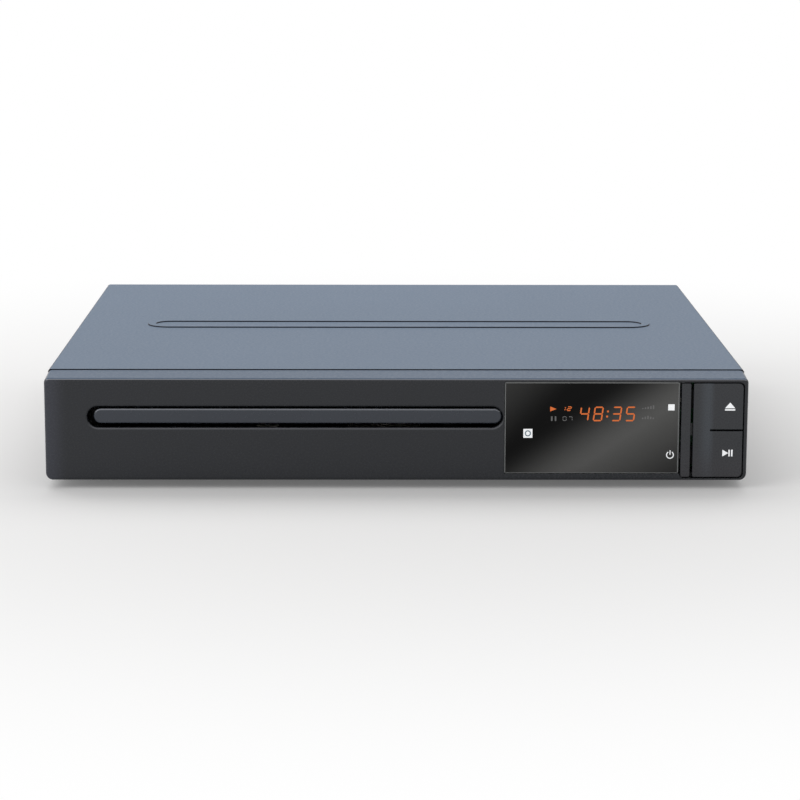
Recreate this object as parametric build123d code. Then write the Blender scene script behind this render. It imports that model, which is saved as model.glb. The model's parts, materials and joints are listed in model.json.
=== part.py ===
from build123d import *
import math
import os

# A compact disc player with a front-loading tray.
# Every piece is drawn with y = 0 on the front face, +Y to the rear, +X to the
# right as seen from the front, and z = 0 under the feet.  place() then moves it
# so that the origin is under the middle of the whole object.

# ---------------------------------------------------------------- driving sizes
WIDTH = 225.0
CASE_DEPTH = 200.0
HEIGHT = 37.2
FOOT_HEIGHT = 2.8
SHEET = 0.8
JACK_REACH = 8.5
WHOLE_DEPTH = CASE_DEPTH + JACK_REACH

# front bezel
BEZEL_DEPTH = 10.4
BEZEL_DROP = 1.15
BEZEL_STEP = 0.3
BEZEL_WALL = 2.2
BEZEL_FLOOR = 2.0
BEZEL_TOP_CORNER = 1.6
BEZEL_LOW_CORNER = 2.3
BEZEL_EDGE = 1.0
LIP_DEPTH = 3.0
SEAM_GAP = 0.4
COVER_INSET = 0.1
COVER_BEND = 1.1

# tray slot and tray
SLOT_X = (-98.9, 34.0)
SLOT_Z = (19.9, 26.9)
TRAY_X = -31.6
TRAY_HALF = 64.0
TRAY_Z = (21.0, 25.7)
TRAY_Y = (5.0, 165.0)
DOOR_HALF = 65.2
DOOR_Z = (21.35, 26.05)
DOOR_Y = (0.4, 5.0)
DISC_R = 60.0
WELL_R = DISC_R + 1.0
WELL_FLOOR = 23.0
SMALL_WELL_R = 41.0
SMALL_WELL_FLOOR = 22.3
CUTOUT_HALF = 26.0
SPINDLE_Y = 72.0

# window and keys
WINDOW_X = (34.55, 90.45)
WINDOW_Z = (5.1, 34.9)
WINDOW_T = 1.5
STRIP_X = (91.15, 94.2)
STRIP_ROOT_Z = (17.2, 21.2)
PLATE_X = (95.0, 111.0)
PLATE_ROOT_X = 100.4
KEY_Z = (3.85, 34.55)
KEY_Y = (0.2, 2.2)
SPLIT_Z = (18.95, 19.45)
HINGE_SLIT = 0.02
KEY_EDGE = 0.3
KEY_OPENING_X = (90.8, 111.3)
KEY_OPENING_Z = (3.45, 34.9)
STEM_R = 1.2
STEM_END = 5.0
STRIP_STEM_X = 92.7
PLATE_STEM_X = 106.5
STOP_Z = 28.5
POWER_Z = 9.9
EJECT_Z = 27.0
PLAY_Z = 11.8
PLUNGER_R = 1.6
PLUNGER_Y = (5.08, 7.5)
SWITCH_Y = (5.6, 9.0)
BOARD_T = 1.6
FRONT_BOARD_Y = 9.0

# loader frame
LOADER_HALF = 67.4
LOADER_INNER = 64.4
LOADER_Y = (15.0, 170.0)
LOADER_FLOOR = (4.4, 6.0)
LOADER_TOP = 29.4
WINDOW_HALF = 38.5
LOADER_WINDOW_Y = (50.4, 158.0)

# tray drive: a rack under the tray, a compound gear, a belt pulley and a motor
MODULE = 1.0
PRESSURE_ANGLE = math.radians(25)
ADDENDUM = 0.9
DEDENDUM = 1.2
BACKLASH = 0.24
RACK_Z = (20.2, 22.1)
DRIVE_PINION_Z = (20.3, 21.8)
PINION_CHANNEL_TOP = 22.0
DRIVE_PINION_TEETH = 16
DRIVE_WHEEL_TEETH = 36
PULLEY_PINION_TEETH = 12
DRIVE_GEAR_AT = (18.5, 28.0)
PULLEY_DIRECTION = math.radians(200)
PULLEY_R = 11.0
MOTOR_PULLEY_R = 2.75
MOTOR_AT_X = -42.0
BELT_Z = 16.0
BELT_T = 1.2

# traverse, which carries the spindle motor and the pickup
TRAVERSE_HALF = 37.0
TRAVERSE_Y = (50.0, 156.0)
TRAVERSE_Z = (14.0, 16.0)
HINGE_AT = (160.0, 12.0)
HINGE_PIN_R = 2.0
HINGE_DROP_ANGLE = 4.0
PEG_AT_X = -36.6
PEG_R = 1.25
PEG_Z = 16.2
CAM_TRAVEL = 20.0
SEAT_Z = 25.0
ROD_X = 22.0
ROD_Z = 18.2
ROD_R = 1.5
SLED_MODULE = 0.8
SLED_PINION_TEETH = 12
SLED_WHEEL_TEETH = 30
SLED_RACK_X = 27.6
SLED_GEAR_Y = 118.0
SLED_MOTOR_DIRECTION = math.radians(145)
PICKUP_Y = (87.0, 117.0)
LENS_Y = 96.0
SLED_TRAVEL = 34.0

# rear face
REAR_PANEL_Y = (198.4, 199.2)
BOARD_Z = (9.0, 10.6)
INLET_X = 91.0
INLET_Z = 18.5
SCART_X = -48.0
SCART_Z = 19.0
HDMI_X = -84.0
RCA_XS = (-8.0, 6.0, 20.0)
RCA_Z = 19.0

FEET_AT = [(x, y) for x in (-92.0, 92.0) for y in (24.0, 180.0)]
LOADER_SCREWS_AT = [(TRAY_X + x, y) for x in (-54.0, 54.0) for y in (19.0, 163.0)]
BEZEL_SCREWS_AT = [(-105.0, 18.0), (105.0, 18.0)]
CHASSIS_SCREWS_AT = LOADER_SCREWS_AT + BEZEL_SCREWS_AT
MAIN_BOARD_AREA = (44.0, 109.0, 26.0, 112.0)
POWER_BOARD_AREA = (44.0, 109.0, 118.0, 194.0)
AV_BOARD_AREA = (-104.0, 38.0, 174.0, 197.5)
FRONT_SCREWS_AT = [(42.0, 30.5), (42.0, 8.5), (86.0, 8.5)]
COVER_SCREWS_X = (-96.0, 0.0, 96.0)
CARRIER_PEGS_AT = [(97.7, 30.0), (97.7, 8.0)]
BEZEL_TAB_Z = (3.65, 5.35)


# ---------------------------------------------------------------- helpers
def block(x0, x1, y0, y1, z0, z1):
    """A box between two corners."""
    middle = Pos((x0 + x1) / 2, (y0 + y1) / 2, (z0 + z1) / 2)
    return middle * Box(x1 - x0, y1 - y0, z1 - z0)


def rod_x(r, x0, x1, y, z):
    return Pos((x0 + x1) / 2, y, z) * Rot(0, 90, 0) * Cylinder(r, x1 - x0)


def rod_y(r, y0, y1, x, z):
    return Pos(x, (y0 + y1) / 2, z) * Rot(90, 0, 0) * Cylinder(r, y1 - y0)


def rod_z(r, z0, z1, x, y):
    return Pos(x, y, (z0 + z1) / 2) * Cylinder(r, z1 - z0)


def tube_z(r, bore, z0, z1, x, y):
    return rod_z(r, z0, z1, x, y) - rod_z(bore, z0 - 1, z1 + 1, x, y)


def facing_front(x, y, z):
    """A plane at a point, with its normal to the rear and its x to the right."""
    return Plane(origin=(x, y, z), x_dir=(1, 0, 0), z_dir=(0, 1, 0))


def front_slot(x0, x1, z0, z1, y0, y1):
    """A bar along X with fully rounded ends, as deep as y0 to y1."""
    plane = facing_front((x0 + x1) / 2, y0, (z0 + z1) / 2)
    return extrude(plane * SlotOverall(x1 - x0, z1 - z0), y1 - y0)


def front_plate(x0, x1, z0, z1, y0, y1, corner):
    """A plate that faces the front, with rounded corners."""
    plane = facing_front((x0 + x1) / 2, y0, (z0 + z1) / 2)
    return extrude(plane * RectangleRounded(x1 - x0, z1 - z0, corner), y1 - y0)


def top_slot(x0, x1, y0, y1, z0, z1):
    """A slot-shaped prism that stands on z0, long along X."""
    plane = Plane.XY.offset(z0)
    slot = Pos((x0 + x1) / 2, (y0 + y1) / 2) * SlotOverall(x1 - x0, y1 - y0)
    return extrude(plane * slot, z1 - z0)


def outline(points):
    return make_face(Polyline(*points, close=True))


def involute(angle):
    return math.tan(angle) - angle


def gear_outline(module, teeth, turn):
    """A spur gear's outline.  turn is the direction of a tooth's centre."""
    pitch_r = module * teeth / 2
    base_r = pitch_r * math.cos(PRESSURE_ANGLE)
    root_r = pitch_r - DEDENDUM * module
    tip_r = pitch_r + ADDENDUM * module
    half_at_pitch = math.pi / (2 * teeth) - BACKLASH / (4 * pitch_r)

    def half_angle(r):
        flank = math.acos(min(1.0, base_r / r))
        return half_at_pitch + involute(PRESSURE_ANGLE) - involute(flank)

    low_r = max(base_r, root_r + 0.05)
    middle_r = (pitch_r + tip_r) / 2
    radii = [root_r, low_r, pitch_r, middle_r, tip_r]
    points = []
    for tooth in range(teeth):
        centre = turn + 2 * math.pi * tooth / teeth
        for r in radii:
            angle = centre - half_angle(max(r, low_r))
            points.append((r * math.cos(angle), r * math.sin(angle)))
        for r in reversed(radii):
            angle = centre + half_angle(max(r, low_r))
            points.append((r * math.cos(angle), r * math.sin(angle)))
    return outline(points)


def gear(module, teeth, turn, z0, z1, x, y):
    face = Plane.XY.offset(z0) * Pos(x, y) * gear_outline(module, teeth, turn)
    return extrude(face, z1 - z0)


def rack(module, pitch_x, back_x, y0, y1, tooth_y, z0, z1):
    """A toothed bar along Y.  Teeth face +X, and one tooth is centred on tooth_y."""
    pitch = math.pi * module
    half = pitch / 4 - BACKLASH / 4
    slope = math.tan(PRESSURE_ANGLE)
    tip_x = pitch_x + ADDENDUM * module
    root_x = pitch_x - DEDENDUM * module
    at_tip = half - ADDENDUM * module * slope
    at_root = half + DEDENDUM * module * slope
    points = [(back_x, y0), (root_x, y0)]
    first = math.ceil((y0 + at_root - tooth_y) / pitch)
    last = math.floor((y1 - at_root - tooth_y) / pitch)
    for tooth in range(first, last + 1):
        centre = tooth_y + tooth * pitch
        points.append((root_x, centre - at_root))
        points.append((tip_x, centre - at_tip))
        points.append((tip_x, centre + at_tip))
        points.append((root_x, centre + at_root))
    points += [(root_x, y1), (back_x, y1)]
    return extrude(Plane.XY.offset(z0) * outline(points), z1 - z0)


def belt_area(x_a, r_a, x_b, r_b, y):
    """The area inside a belt round two circles, a on the right and b on the left."""
    span = x_a - x_b
    lean = math.asin((r_a - r_b) / span)
    right = (x_a - r_a * math.sin(lean), y + r_a * math.cos(lean))
    left = (x_b - r_b * math.sin(lean), y + r_b * math.cos(lean))
    low_left = (left[0], 2 * y - left[1])
    low_right = (right[0], 2 * y - right[1])
    middle = outline([right, left, low_left, low_right])
    return middle + Pos(x_a, y) * Circle(r_a) + Pos(x_b, y) * Circle(r_b)


def screw_down(x, y, head_z, tip_z, shank_r=1.4, head_r=2.8, head_t=1.5):
    """A pan-head screw from above, with a cross slot in its head."""
    head = rod_z(head_r, head_z, head_z + head_t, x, y)
    shank = rod_z(shank_r, tip_z, head_z, x, y)
    top = head_z + head_t
    cross = block(x - 1.8, x + 1.8, y - 0.3, y + 0.3, top - 0.8, top + 1)
    cross += block(x - 0.3, x + 0.3, y - 1.8, y + 1.8, top - 0.8, top + 1)
    return head + shank - cross


def screw_forward(x, z, head_y, tip_y, shank_r=1.1, head_r=2.5, head_t=1.4):
    """A pan-head screw from the rear, with a cross slot in its head."""
    head = rod_y(head_r, head_y, head_y + head_t, x, z)
    shank = rod_y(shank_r, tip_y, head_y, x, z)
    back = head_y + head_t
    cross = block(x - 1.6, x + 1.6, back - 0.7, back + 1, z - 0.3, z + 0.3)
    cross += block(x - 0.3, x + 0.3, back - 0.7, back + 1, z - 1.6, z + 1.6)
    return head + shank - cross


def join(pieces):
    """Separate solids in one group."""
    return Compound(children=[piece for piece in pieces])


# ---------------------------------------------------------------- casing
def front_bezel():
    side = outline([
        (0, FOOT_HEIGHT),
        (0, HEIGHT - BEZEL_DROP),
        (BEZEL_DEPTH, HEIGHT - BEZEL_STEP),
        (BEZEL_DEPTH, FOOT_HEIGHT),
    ])
    shell = Pos(-WIDTH / 2, 0, 0) * extrude(Plane.YZ * side, WIDTH)
    long_edges = [e for e in shell.edges() if abs(e.tangent_at(0.5).Y) > 0.9]
    high_edges = [e for e in long_edges if e.center().Z > HEIGHT / 2]
    shell = fillet(high_edges, BEZEL_TOP_CORNER)
    long_edges = [e for e in shell.edges() if abs(e.tangent_at(0.5).Y) > 0.9]
    low_edges = [e for e in long_edges if e.center().Z < FOOT_HEIGHT + 0.1]
    shell = fillet(low_edges, BEZEL_LOW_CORNER)
    front_face = shell.faces().sort_by(Axis.Y)[0]
    shell = fillet(front_face.edges(), BEZEL_EDGE)
    inner_x = WIDTH / 2 - BEZEL_WALL
    ceiling = HEIGHT - BEZEL_DROP - 1.3
    lip_end = BEZEL_DEPTH + LIP_DEPTH
    lip_x = WIDTH / 2 - 1.6
    lip = block(-lip_x, lip_x, BEZEL_DEPTH, lip_end, FOOT_HEIGHT + 1, HEIGHT - 1.4)
    cavity = block(-inner_x, inner_x, BEZEL_WALL, lip_end + 1, FOOT_HEIGHT + BEZEL_FLOOR, ceiling)
    shell = shell + lip - cavity
    # the ledge that the window rests on, and the bosses behind it
    shell += block(34.0, 91.0, BEZEL_WALL - 0.1, 3.2, 4.5, ceiling + 0.5)
    for x, z in FRONT_SCREWS_AT:
        shell += rod_y(2.6, 3.0, FRONT_BOARD_Y, x, z)
    for x, y in BEZEL_SCREWS_AT:
        shell += block(x - 4, x + 4, lip_end - 1, y + 4, *BEZEL_TAB_Z)
    # tray slot with a rounded lip
    slot = front_slot(*SLOT_X, *SLOT_Z, -1, BEZEL_WALL + 1)
    shell -= slot
    rim = shell.edges().filter_by(lambda e: abs(e.center().Y) < 0.01)
    rim = [e for e in rim if SLOT_X[0] - 0.1 < e.center().X < SLOT_X[1] + 0.1]
    rim = [e for e in rim if SLOT_Z[0] - 0.1 < e.center().Z < SLOT_Z[1] + 0.1]
    shell = fillet(rim, 0.7)
    # window pocket, display opening, key opening and screw holes
    shell -= front_plate(WINDOW_X[0] - 0.15, 91.3, WINDOW_Z[0] - 0.15, WINDOW_Z[1] + 0.15, -1, 1.7, 0.6)
    shell -= block(46.5, 84.5, 0, 4, 19.0, 29.0)
    shell -= front_plate(*KEY_OPENING_X, *KEY_OPENING_Z, -1, 4.0, 1.6)
    for x, z in FRONT_SCREWS_AT:
        shell -= rod_y(1.15, 4.0, FRONT_BOARD_Y + 1, x, z)
    for x, y in BEZEL_SCREWS_AT:
        shell -= rod_z(1.8, 3, 6, x, y)
    return shell


def top_cover():
    """A folded sheet: top, two sides and a lip over the rear panel."""
    half = WIDTH / 2 - COVER_INSET
    front = BEZEL_DEPTH + SEAM_GAP
    outer = block(-half, half, front, CASE_DEPTH, 3.9, HEIGHT)
    inner = block(-half + SHEET, half - SHEET, front - 1, CASE_DEPTH + 1, 2.9, HEIGHT - SHEET)
    top_edges = [e for e in outer.edges().filter_by(Axis.Y) if e.center().Z > HEIGHT - 0.1]
    outer = fillet(top_edges, COVER_BEND)
    top_edges = [e for e in inner.edges().filter_by(Axis.Y) if e.center().Z > HEIGHT - 1]
    inner = fillet(top_edges, COVER_BEND - SHEET)
    cover = outer - inner
    cover += block(-108, 108, REAR_PANEL_Y[1], CASE_DEPTH, 31.0, HEIGHT - SHEET / 2)
    # a plain stiffening bead on the top, in the shape of a long ring
    bead = top_slot(-88, 91, 94, 110, HEIGHT - 0.2, HEIGHT + 0.4)
    bead -= top_slot(-85, 88, 97, 107, HEIGHT - 1, HEIGHT + 1)
    cover += bead
    bead_edges = [e for e in cover.edges() if e.center().Z > HEIGHT + 0.39]
    cover = fillet(bead_edges, 0.3)
    for row in range(14):
        y = 118 + row * 5.0
        cover -= block(-half - 1, half + 1, y, y + 2.2, 14, 26)
    for x in COVER_SCREWS_X:
        cover -= rod_y(1.5, REAR_PANEL_Y[1] - 1, CASE_DEPTH + 1, x, 33.0)
    return cover


def base_chassis():
    """A pressed steel pan with low side walls and raised bosses."""
    half = WIDTH / 2 - 1.6
    pan = block(-half, half, 14.2, REAR_PANEL_Y[0], FOOT_HEIGHT, FOOT_HEIGHT + SHEET)
    for side in (-1, 1):
        inside = side * (half - SHEET)
        outside = side * half
        pan += block(min(inside, outside), max(inside, outside), 24, REAR_PANEL_Y[0], 3.4, 14)
    for x, y in LOADER_SCREWS_AT:
        pan += rod_z(4.0, 3.4, LOADER_FLOOR[0], x, y)
    for x0, x1, y0, y1 in (MAIN_BOARD_AREA, POWER_BOARD_AREA, AV_BOARD_AREA):
        for x in (x0 + 5, x1 - 5):
            for y in (y0 + 5, y1 - 5):
                pan += rod_z(2.8, 3.4, BOARD_Z[0], x, y)
                pan -= rod_z(1.15, 5.0, BOARD_Z[0] + 1, x, y)
    for x, y in CHASSIS_SCREWS_AT:
        pan -= rod_z(1.6, 2, 6, x, y)
    for row in range(8):
        x = 52 + row * 6.5
        pan -= block(x, x + 2.5, 130, 176, 2, 3.9)
    return pan


def rear_panel():
    half = WIDTH / 2 - 1.6
    panel = block(-half, half, *REAR_PANEL_Y, FOOT_HEIGHT, HEIGHT - SHEET - 0.3)
    y0, y1 = REAR_PANEL_Y[0] - 1, REAR_PANEL_Y[1] + 1
    panel -= front_plate(INLET_X - 10.2, INLET_X + 10.2, INLET_Z - 6.7, INLET_Z + 6.7, y0, y1, 2.0)
    panel -= front_plate(SCART_X - 25.2, SCART_X + 25.2, SCART_Z - 7.7, SCART_Z + 7.7, y0, y1, 0.8)
    panel -= front_plate(HDMI_X - 7.9, HDMI_X + 7.9, 10.8, 17.2, y0, y1, 0.6)
    for x in RCA_XS:
        panel -= rod_y(4.6, y0, y1, x, RCA_Z)
    for x in COVER_SCREWS_X:
        panel -= rod_y(1.1, y0, y1, x, 33.0)
    for column in range(9):
        x = 46 + column * 3.6
        panel -= block(x, x + 1.6, y0, y1, 12, 26)
    return panel


def feet():
    """Four round rubber feet with a small chamfer below."""
    pieces = []
    for x, y in FEET_AT:
        foot = rod_z(7.0, 0, FOOT_HEIGHT, x, y)
        foot = chamfer(foot.edges().sort_by(Axis.Z)[0], 0.6)
        pieces.append(foot)
    return join(pieces)


def display_window():
    plate = front_plate(*WINDOW_X, *WINDOW_Z, 0.1, 0.1 + WINDOW_T, 0.6)
    front_edges = plate.faces().sort_by(Axis.Y)[0].edges()
    return chamfer(front_edges, 0.35)


# ---------------------------------------------------------------- front board and keys
def round_key(key, is_root):
    """Rounds the edges of a key's front face, but not those where it flexes."""
    front_edges = key.faces().sort_by(Axis.Y)[0].edges()
    return fillet([e for e in front_edges if not is_root(e.center())], KEY_EDGE)


def key_carrier():
    """The fixed part of the key moulding, from which the four keys flex."""
    top, low = KEY_Z[1], KEY_Z[0]
    plate = block(PLATE_X[0], PLATE_ROOT_X, KEY_Y[0], KEY_Y[1], low, top)
    corners = [e for e in plate.edges().filter_by(Axis.Y) if e.center().X < PLATE_X[0] + 0.1]
    plate = round_key(fillet(corners, 0.6), lambda at: at.X > PLATE_ROOT_X - 0.1)
    plate += block(PLATE_X[0] + 0.5, PLATE_ROOT_X - 0.1, KEY_Y[1], 3.8, low + 1, top - 1)
    link = block(STRIP_X[0], PLATE_X[0] + 1, KEY_Y[1], 3.8, *STRIP_ROOT_Z)
    plate += link
    root_z = sum(STRIP_ROOT_Z) / 2
    plate += round_key(block(*STRIP_X, *KEY_Y, *STRIP_ROOT_Z), lambda at: abs(at.Z - root_z) > 1.0)
    for x, z in CARRIER_PEGS_AT:
        plate += rod_y(2.0, 3.7, FRONT_BOARD_Y, x, z)
        plate += rod_y(1.2, FRONT_BOARD_Y, FRONT_BOARD_Y + BOARD_T, x, z)
    return plate


def strip_key(z0, z1, stem_z, outer_z):
    """Half of the narrow key strip, rounded at its outer end."""
    key = block(*STRIP_X, *KEY_Y, z0, z1)
    corners = [e for e in key.edges().filter_by(Axis.Y) if abs(e.center().Z - outer_z) < 0.1]
    root_z = z0 + z1 - outer_z
    key = round_key(fillet(corners, 0.6), lambda at: abs(at.Z - root_z) < 0.1)
    return key + rod_y(STEM_R, KEY_Y[1] - 0.2, STEM_END, STRIP_STEM_X, stem_z)


def stop_key():
    return strip_key(STRIP_ROOT_Z[1] + HINGE_SLIT, KEY_Z[1], STOP_Z, KEY_Z[1])


def power_key():
    return strip_key(KEY_Z[0], STRIP_ROOT_Z[0] - HINGE_SLIT, POWER_Z, KEY_Z[0])


def plate_key(z0, z1, stem_z, outer_z):
    """One tab of the key plate, rounded at its outer corner."""
    key = block(PLATE_ROOT_X + HINGE_SLIT, PLATE_X[1], *KEY_Y, z0, z1)
    corners = [e for e in key.edges().filter_by(Axis.Y) if abs(e.center().Z - outer_z) < 0.1]
    corners = [e for e in corners if e.center().X > PLATE_X[1] - 0.1]
    key = round_key(fillet(corners, 1.6), lambda at: at.X < PLATE_ROOT_X + 0.1)
    return key + rod_y(STEM_R, KEY_Y[1] - 0.2, STEM_END, PLATE_STEM_X, stem_z)


def eject_key():
    return plate_key(SPLIT_Z[1], KEY_Z[1], EJECT_Z, KEY_Z[1])


def play_pause_key():
    return plate_key(KEY_Z[0], SPLIT_Z[0], PLAY_Z, KEY_Z[0])


SWITCHES = {
    "stop": (STRIP_STEM_X, STOP_Z),
    "power": (STRIP_STEM_X, POWER_Z),
    "eject": (PLATE_STEM_X, EJECT_Z),
    "play_pause": (PLATE_STEM_X, PLAY_Z),
}


def tact_switches():
    """Four square switch housings on the front board."""
    pieces = []
    for x, z in SWITCHES.values():
        housing = block(x - 3, x + 3, *SWITCH_Y, z - 3, z + 3)
        housing -= rod_y(PLUNGER_R + 0.05, SWITCH_Y[0] - 1, 7.9, x, z)
        pieces.append(housing)
    return join(pieces)


def plunger(name):
    x, z = SWITCHES[name]
    return rod_y(PLUNGER_R, *PLUNGER_Y, x, z)


def front_board():
    board = block(38, 109.8, FRONT_BOARD_Y, FRONT_BOARD_Y + BOARD_T, 5.4, 34.2)
    for x, z in FRONT_SCREWS_AT:
        board -= rod_y(1.3, FRONT_BOARD_Y - 1, FRONT_BOARD_Y + 3, x, z)
    for x, z in CARRIER_PEGS_AT:
        board -= rod_y(1.25, FRONT_BOARD_Y - 1, FRONT_BOARD_Y + 3, x, z)
    return board


def front_board_screws():
    head_y = FRONT_BOARD_Y + BOARD_T
    return join([screw_forward(x, z, head_y, 4.5) for x, z in FRONT_SCREWS_AT])


def display_module():
    """The moulded block that holds the lit segments, with its light wells."""
    body = block(47, 84, 3.4, FRONT_BOARD_Y, 19.5, 28.5)
    for column in range(5):
        x = 50.5 + column * 6.6
        body -= block(x, x + 4.6, 2.4, 4.4, 21, 27)
    return body


def ir_receiver():
    """The remote-control eye on the front board, behind the window."""
    body = block(59, 65, 5.4, FRONT_BOARD_Y, 8.5, 15.5)
    return body + rod_y(2.4, 3.6, 5.6, 62, 12.5)


# ---------------------------------------------------------------- loader
def loader_frame():
    """The moulded frame that guides the tray and carries its drive."""
    x0, x1 = TRAY_X - LOADER_HALF, TRAY_X + LOADER_HALF
    frame = block(x0, x1, *LOADER_Y, *LOADER_FLOOR)
    frame -= block(TRAY_X - WINDOW_HALF, TRAY_X + WINDOW_HALF, *LOADER_WINDOW_Y, 4, 7)
    for side in (-1, 1):
        wall_in = TRAY_X + side * LOADER_INNER
        wall_out = TRAY_X + side * LOADER_HALF
        low, high = sorted((wall_in, wall_out))
        frame += block(low, high, *LOADER_Y, 5, LOADER_TOP)
        low, high = sorted((TRAY_X + side * 60, wall_out))
        frame += block(low, high, *LOADER_Y, 18.9, 20.9)
        low, high = sorted((TRAY_X + side * 62.5, wall_out))
        for y in (20, 60, 128):
            frame += block(low, high, y, y + 14, 26.0, 27.5)
        low, high = sorted((TRAY_X + side * 38.9, TRAY_X + side * 43.0))
        frame += block(low, high, 155, 165, 5, 16.5)
    frame += block(x0, x1, 167.5, LOADER_Y[1], 5, 18.0)
    frame -= rod_x(HINGE_PIN_R + 0.05, TRAY_X - 46, TRAY_X + 46, *HINGE_AT)
    # rails of the cam slider
    frame += block(-97, 0, 44.4, 45.9, 5.9, 6.9)
    frame += block(-97, 0, 48.6, 49.9, 5.9, 6.9)
    # posts of the gears
    x, y = DRIVE_GEAR_AT
    frame += rod_z(5.0, 5.9, 11.0, x, y) + rod_z(2.0, 11.0, 21.7, x, y)
    x, y = pulley_centre()
    frame += rod_z(4.0, 5.9, 11.0, x, y) + rod_z(1.5, 11.0, 16.6, x, y)
    for x, y in LOADER_SCREWS_AT:
        frame -= rod_z(1.8, 4, 7, x, y)
    # the notch in the wall that the drive wheel turns in
    x, y = DRIVE_GEAR_AT
    frame -= block(x + 13, x + 20, y - 15, y + 15, 10.6, 14.5)
    return frame


def pulley_centre():
    x, y = DRIVE_GEAR_AT
    reach = MODULE * (DRIVE_WHEEL_TEETH + PULLEY_PINION_TEETH) / 2
    return (x + reach * math.cos(PULLEY_DIRECTION), y + reach * math.sin(PULLEY_DIRECTION))


def chassis_screws():
    """Six screws that hold the loader and the bezel on the pan."""
    pieces = [screw_down(x, y, LOADER_FLOOR[1], 3.1) for x, y in LOADER_SCREWS_AT]
    pieces += [screw_down(x, y, BEZEL_TAB_Z[1], 3.1) for x, y in BEZEL_SCREWS_AT]
    return join(pieces)


def disc_tray():
    """The sliding tray, with wells for two disc sizes and a rack below."""
    x0, x1 = TRAY_X - TRAY_HALF, TRAY_X + TRAY_HALF
    tray = block(x0, x1, *TRAY_Y, *TRAY_Z)
    tray -= rod_z(WELL_R, WELL_FLOOR, TRAY_Z[1] + 1, TRAY_X, SPINDLE_Y)
    tray -= rod_z(SMALL_WELL_R, SMALL_WELL_FLOOR, TRAY_Z[1] + 1, TRAY_X, SPINDLE_Y)
    tray -= rod_z(CUTOUT_HALF, 20, 27, TRAY_X, SPINDLE_Y)
    tray -= block(TRAY_X - CUTOUT_HALF, TRAY_X + CUTOUT_HALF, SPINDLE_Y, TRAY_Y[1] + 1, 20, 27)
    # finger dips beside the well
    for side in (-1, 1):
        tray -= rod_z(11, WELL_FLOOR + 0.2, TRAY_Z[1] + 1, TRAY_X + side * 56, TRAY_Y[0] + 9)
    # the channel below that the drive pinion runs in, and the rack along it
    back_x = rack_pitch_x() - 3.4
    channel_end = DRIVE_GEAR_AT[0] + MODULE * DRIVE_PINION_TEETH / 2 + 1.5
    tray -= block(back_x + 0.1, channel_end, 11, TRAY_Y[1] + 1, 20, PINION_CHANNEL_TOP)
    tray += rack(MODULE, rack_pitch_x(), back_x, 12, 164, DRIVE_GEAR_AT[1], *RACK_Z)
    return tray


def rack_pitch_x():
    return DRIVE_GEAR_AT[0] - MODULE * DRIVE_PINION_TEETH / 2


def tray_door():
    """The bar that fills the slot when the tray is in."""
    x0, x1 = TRAY_X - DOOR_HALF, TRAY_X + DOOR_HALF
    door = front_slot(x0, x1, *DOOR_Z, *DOOR_Y)
    front_edges = door.faces().sort_by(Axis.Y)[0].edges()
    return fillet(front_edges, 0.6)


def tray_drive_gear():
    """A wheel below and a pinion above, in one moulding."""
    x, y = DRIVE_GEAR_AT
    # the pinion has a space towards the rack, which is on its left
    pinion_turn = math.pi + math.pi / DRIVE_PINION_TEETH
    body = gear(MODULE, DRIVE_WHEEL_TEETH, PULLEY_DIRECTION, 11.1, 14.0, x, y)
    body += rod_z(5.5, 13.9, DRIVE_PINION_Z[0] + 0.1, x, y)
    body += gear(MODULE, DRIVE_PINION_TEETH, pinion_turn, *DRIVE_PINION_Z, x, y)
    return body - rod_z(2.05, 10, 23, x, y)


def pulley_gear():
    """A grooved pulley above its small pinion."""
    x, y = pulley_centre()
    facing = PULLEY_DIRECTION + math.pi
    pinion_turn = facing + math.pi / PULLEY_PINION_TEETH
    body = gear(MODULE, PULLEY_PINION_TEETH, pinion_turn, 11.1, 14.3, x, y)
    body += rod_z(PULLEY_R + 0.9, 14.2, 15.2, x, y)
    body += rod_z(PULLEY_R - 0.05, 15.1, 16.7, x, y)
    body += rod_z(PULLEY_R + 0.9, 16.65, 17.1, x, y)
    return body - rod_z(1.55, 10, 18, x, y)


def motor_pulley():
    x, y = MOTOR_AT_X, pulley_centre()[1]
    body = rod_z(MOTOR_PULLEY_R + 0.9, 14.7, 15.2, x, y)
    body += rod_z(MOTOR_PULLEY_R - 0.05, 15.1, 16.75, x, y)
    body += rod_z(MOTOR_PULLEY_R + 0.9, 16.7, 17.2, x, y)
    return body - rod_z(0.9, 14, 18, x, y)


def drive_belt():
    """A square rubber belt from the motor to the pulley."""
    x_pulley, y = pulley_centre()
    outer = belt_area(x_pulley, PULLEY_R + BELT_T, MOTOR_AT_X, MOTOR_PULLEY_R + BELT_T, y)
    inner = belt_area(x_pulley, PULLEY_R, MOTOR_AT_X, MOTOR_PULLEY_R, y)
    return extrude(Plane.XY.offset(BELT_Z - BELT_T / 2) * (outer - inner), BELT_T)


def loading_motor():
    x, y = MOTOR_AT_X, pulley_centre()[1]
    can = rod_z(9.5, LOADER_FLOOR[1], 13.8, x, y)
    can = fillet(can.edges().sort_by(Axis.Z)[-1], 1.0)
    can += rod_z(2.5, 13.7, 14.4, x, y)
    return can + rod_z(0.85, 14.3, 17.3, x, y)


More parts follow.
